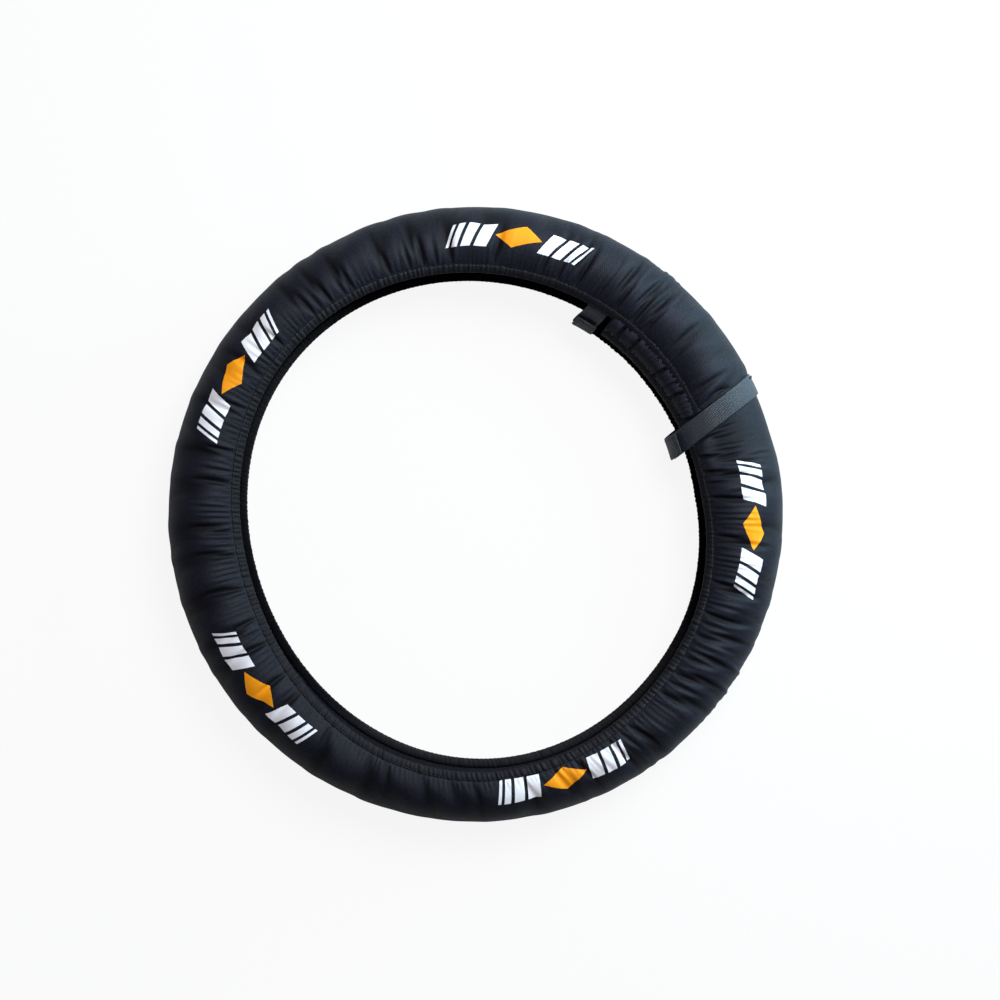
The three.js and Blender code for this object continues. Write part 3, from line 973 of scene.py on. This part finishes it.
def hemStitches(name, side):  # one row round each hem, beside the seam
    hemRadius = stitchShape["hemRadius"]
    count = int(hemRadius * (endBearing - startBearing) / stitchShape["pitch"])
    begin = np.linspace(startBearing + 0.01, endBearing - 0.01, count)
    end = begin + stitchShape["length"] / hemRadius
    ends = []
    for nominal in (begin, end):
        s = side * (hemDistance(nominal, side) - stitchShape["hemInset"])
        ends.append((clothBearing(nominal, s), s, clothLift(nominal, s) + stitchShape["hemLift"]))
    stitches(name, *ends, "cover_cloth", "cover_panel")


# Two lines down each lapped end of the strap, and one across each end of them
def strapStitches(name, strap, node):
    pitch, length = stitchShape["pitch"], stitchShape["length"]
    edge = strapCloth["width"] / 2 - stitchShape["strapInset"]
    first, last = strapCloth["lap"] * 0.08, strapCloth["lap"] * 0.92
    rows = []
    for offset in (0, strapLength - strapCloth["lap"]):
        down = np.arange(first, last - length, pitch) + offset
        for x in (-edge, edge):
            beside = np.full_like(down, x)
            rows.append(np.stack([down, down + length, beside, beside]))
        over = np.arange(-edge + 0.001, edge - length, pitch)
        for place in (first + offset, last + offset):
            there = np.full_like(over, place)
            rows.append(np.stack([there, there, over, over + length]))
    along0, along1, x0, x1 = np.concatenate(rows, axis=1)
    ends = []
    for along, x in ((along0, x0), (along1, x1)):
        distance = strapDistance(along)
        lift = strapLift(strap, along) + stitchShape["strapLift"]
        ends.append((lineBearing(strap, ringSection(distance)[0], -x), distance, lift))
    stitches(name, *ends, "strap_webbing", node)


hemStitches("frontHemStitches", 1)
hemStitches("backHemStitches", -1)
strapStitches("outerStrapStitches", outerStrap, "outer_end_strap")
strapStitches("innerStrapStitches", innerStrap, "inner_end_strap")
hemElastic("frontElastic", 1, "front_hem_elastic")
hemElastic("backElastic", -1, "back_hem_elastic")
print("straps, tapes and elastics made")

studio = {
    "cameraHeight": 2.386,
    "lens": 71.8,
    "shift": (0.0243, 0.014),
    "floorWhite": 0.9,
    "floorHalf": 4.0,
    "floorDepth": 0.0004,
    "ambient": 0.07,
    "ambientColour": (0.93, 0.96, 1.0, 1),
}
lamps = {
    "side": {
        "place": (1.1, 0.7, 0.5),
        "target": (0.25, 0.15, 0.05),
        "size": (0.7, 0.6),
        "power": 19,
        "colour": (0.5, 0.86, 1.0),
    },
    "above": {
        "place": (0.85, 1.15, 2.3),
        "target": (0, 0, 0),
        "size": (1.4, 1.4),
        "power": 76,
        "colour": (0.98, 0.97, 1.0),
    },
}


def studioFloor():  # plain white to the camera, and a matt floor to the light
    half = studio["floorHalf"]
    points = np.array([[-half, -half, 0], [half, -half, 0], [half, half, 0], [-half, half, 0]], float)
    points[:, 2] = -studio["floorDepth"]
    piece = meshFrom("floor", points, np.array([[0, 1, 2, 3]]))
    material, tree, shader = newMaterial("floor")
    shader.inputs["Base Color"].default_value = (0.82, 0.82, 0.83, 1)
    shader.inputs["Roughness"].default_value = 0.9
    glow = addNode(tree, "ShaderNodeEmission", Color=(1, 1, 1, 1), Strength=1.0)
    path = addNode(tree, "ShaderNodeLightPath")
    seen = mathNode(tree, "MULTIPLY", path.outputs["Is Camera Ray"], studio["floorWhite"])
    mix = addNode(tree, "ShaderNodeMixShader", i0=seen, i1=shader.outputs[0], i2=glow.outputs[0])
    tree.links.new(mix.outputs[0], tree.nodes["Material Output"].inputs["Surface"])
    piece.data.materials.append(material)


def areaLight(name, lamp):
    data = bpy.data.lights.new(name, "AREA")
    data.shape = "RECTANGLE"
    data.size, data.size_y = lamp["size"]
    data.energy = lamp["power"]
    data.color = lamp["colour"]
    piece = bpy.data.objects.new(name, data)
    piece.location = lamp["place"]
    aim = Vector(lamp["target"]) - Vector(lamp["place"])
    piece.rotation_euler = aim.to_track_quat("-Z", "Y").to_euler()
    scene.collection.objects.link(piece)


def studioLight():  # a faint sky that the camera sees as white, and the lamps
    world = bpy.data.worlds.new("studio")
    scene.world = world
    world.use_nodes = True
    tree = world.node_tree
    sky = tree.nodes["Background"]
    sky.inputs["Color"].default_value = studio["ambientColour"]
    sky.inputs["Strength"].default_value = studio["ambient"]
    seen = addNode(tree, "ShaderNodeBackground", Color=(1, 1, 1, 1), Strength=1.0)
    camera = addNode(tree, "ShaderNodeLightPath").outputs["Is Camera Ray"]
    mix = addNode(tree, "ShaderNodeMixShader", i0=camera, i1=sky.outputs[0], i2=seen.outputs[0])
    tree.links.new(mix.outputs[0], tree.nodes["World Output"].inputs["Surface"])
    for name, lamp in lamps.items():
        areaLight(name, lamp)


def photoCamera():
    data = bpy.data.cameras.new("camera")
    data.sensor_width = 36
    data.lens = studio["lens"]
    data.shift_x, data.shift_y = studio["shift"]
    camera = bpy.data.objects.new("camera", data)
    camera.location = (0, 0, studio["cameraHeight"])
    scene.collection.objects.link(camera)
    scene.camera = camera


studioFloor()
studioLight()
photoCamera()
print("studio made")

bpy.context.view_layer.update()
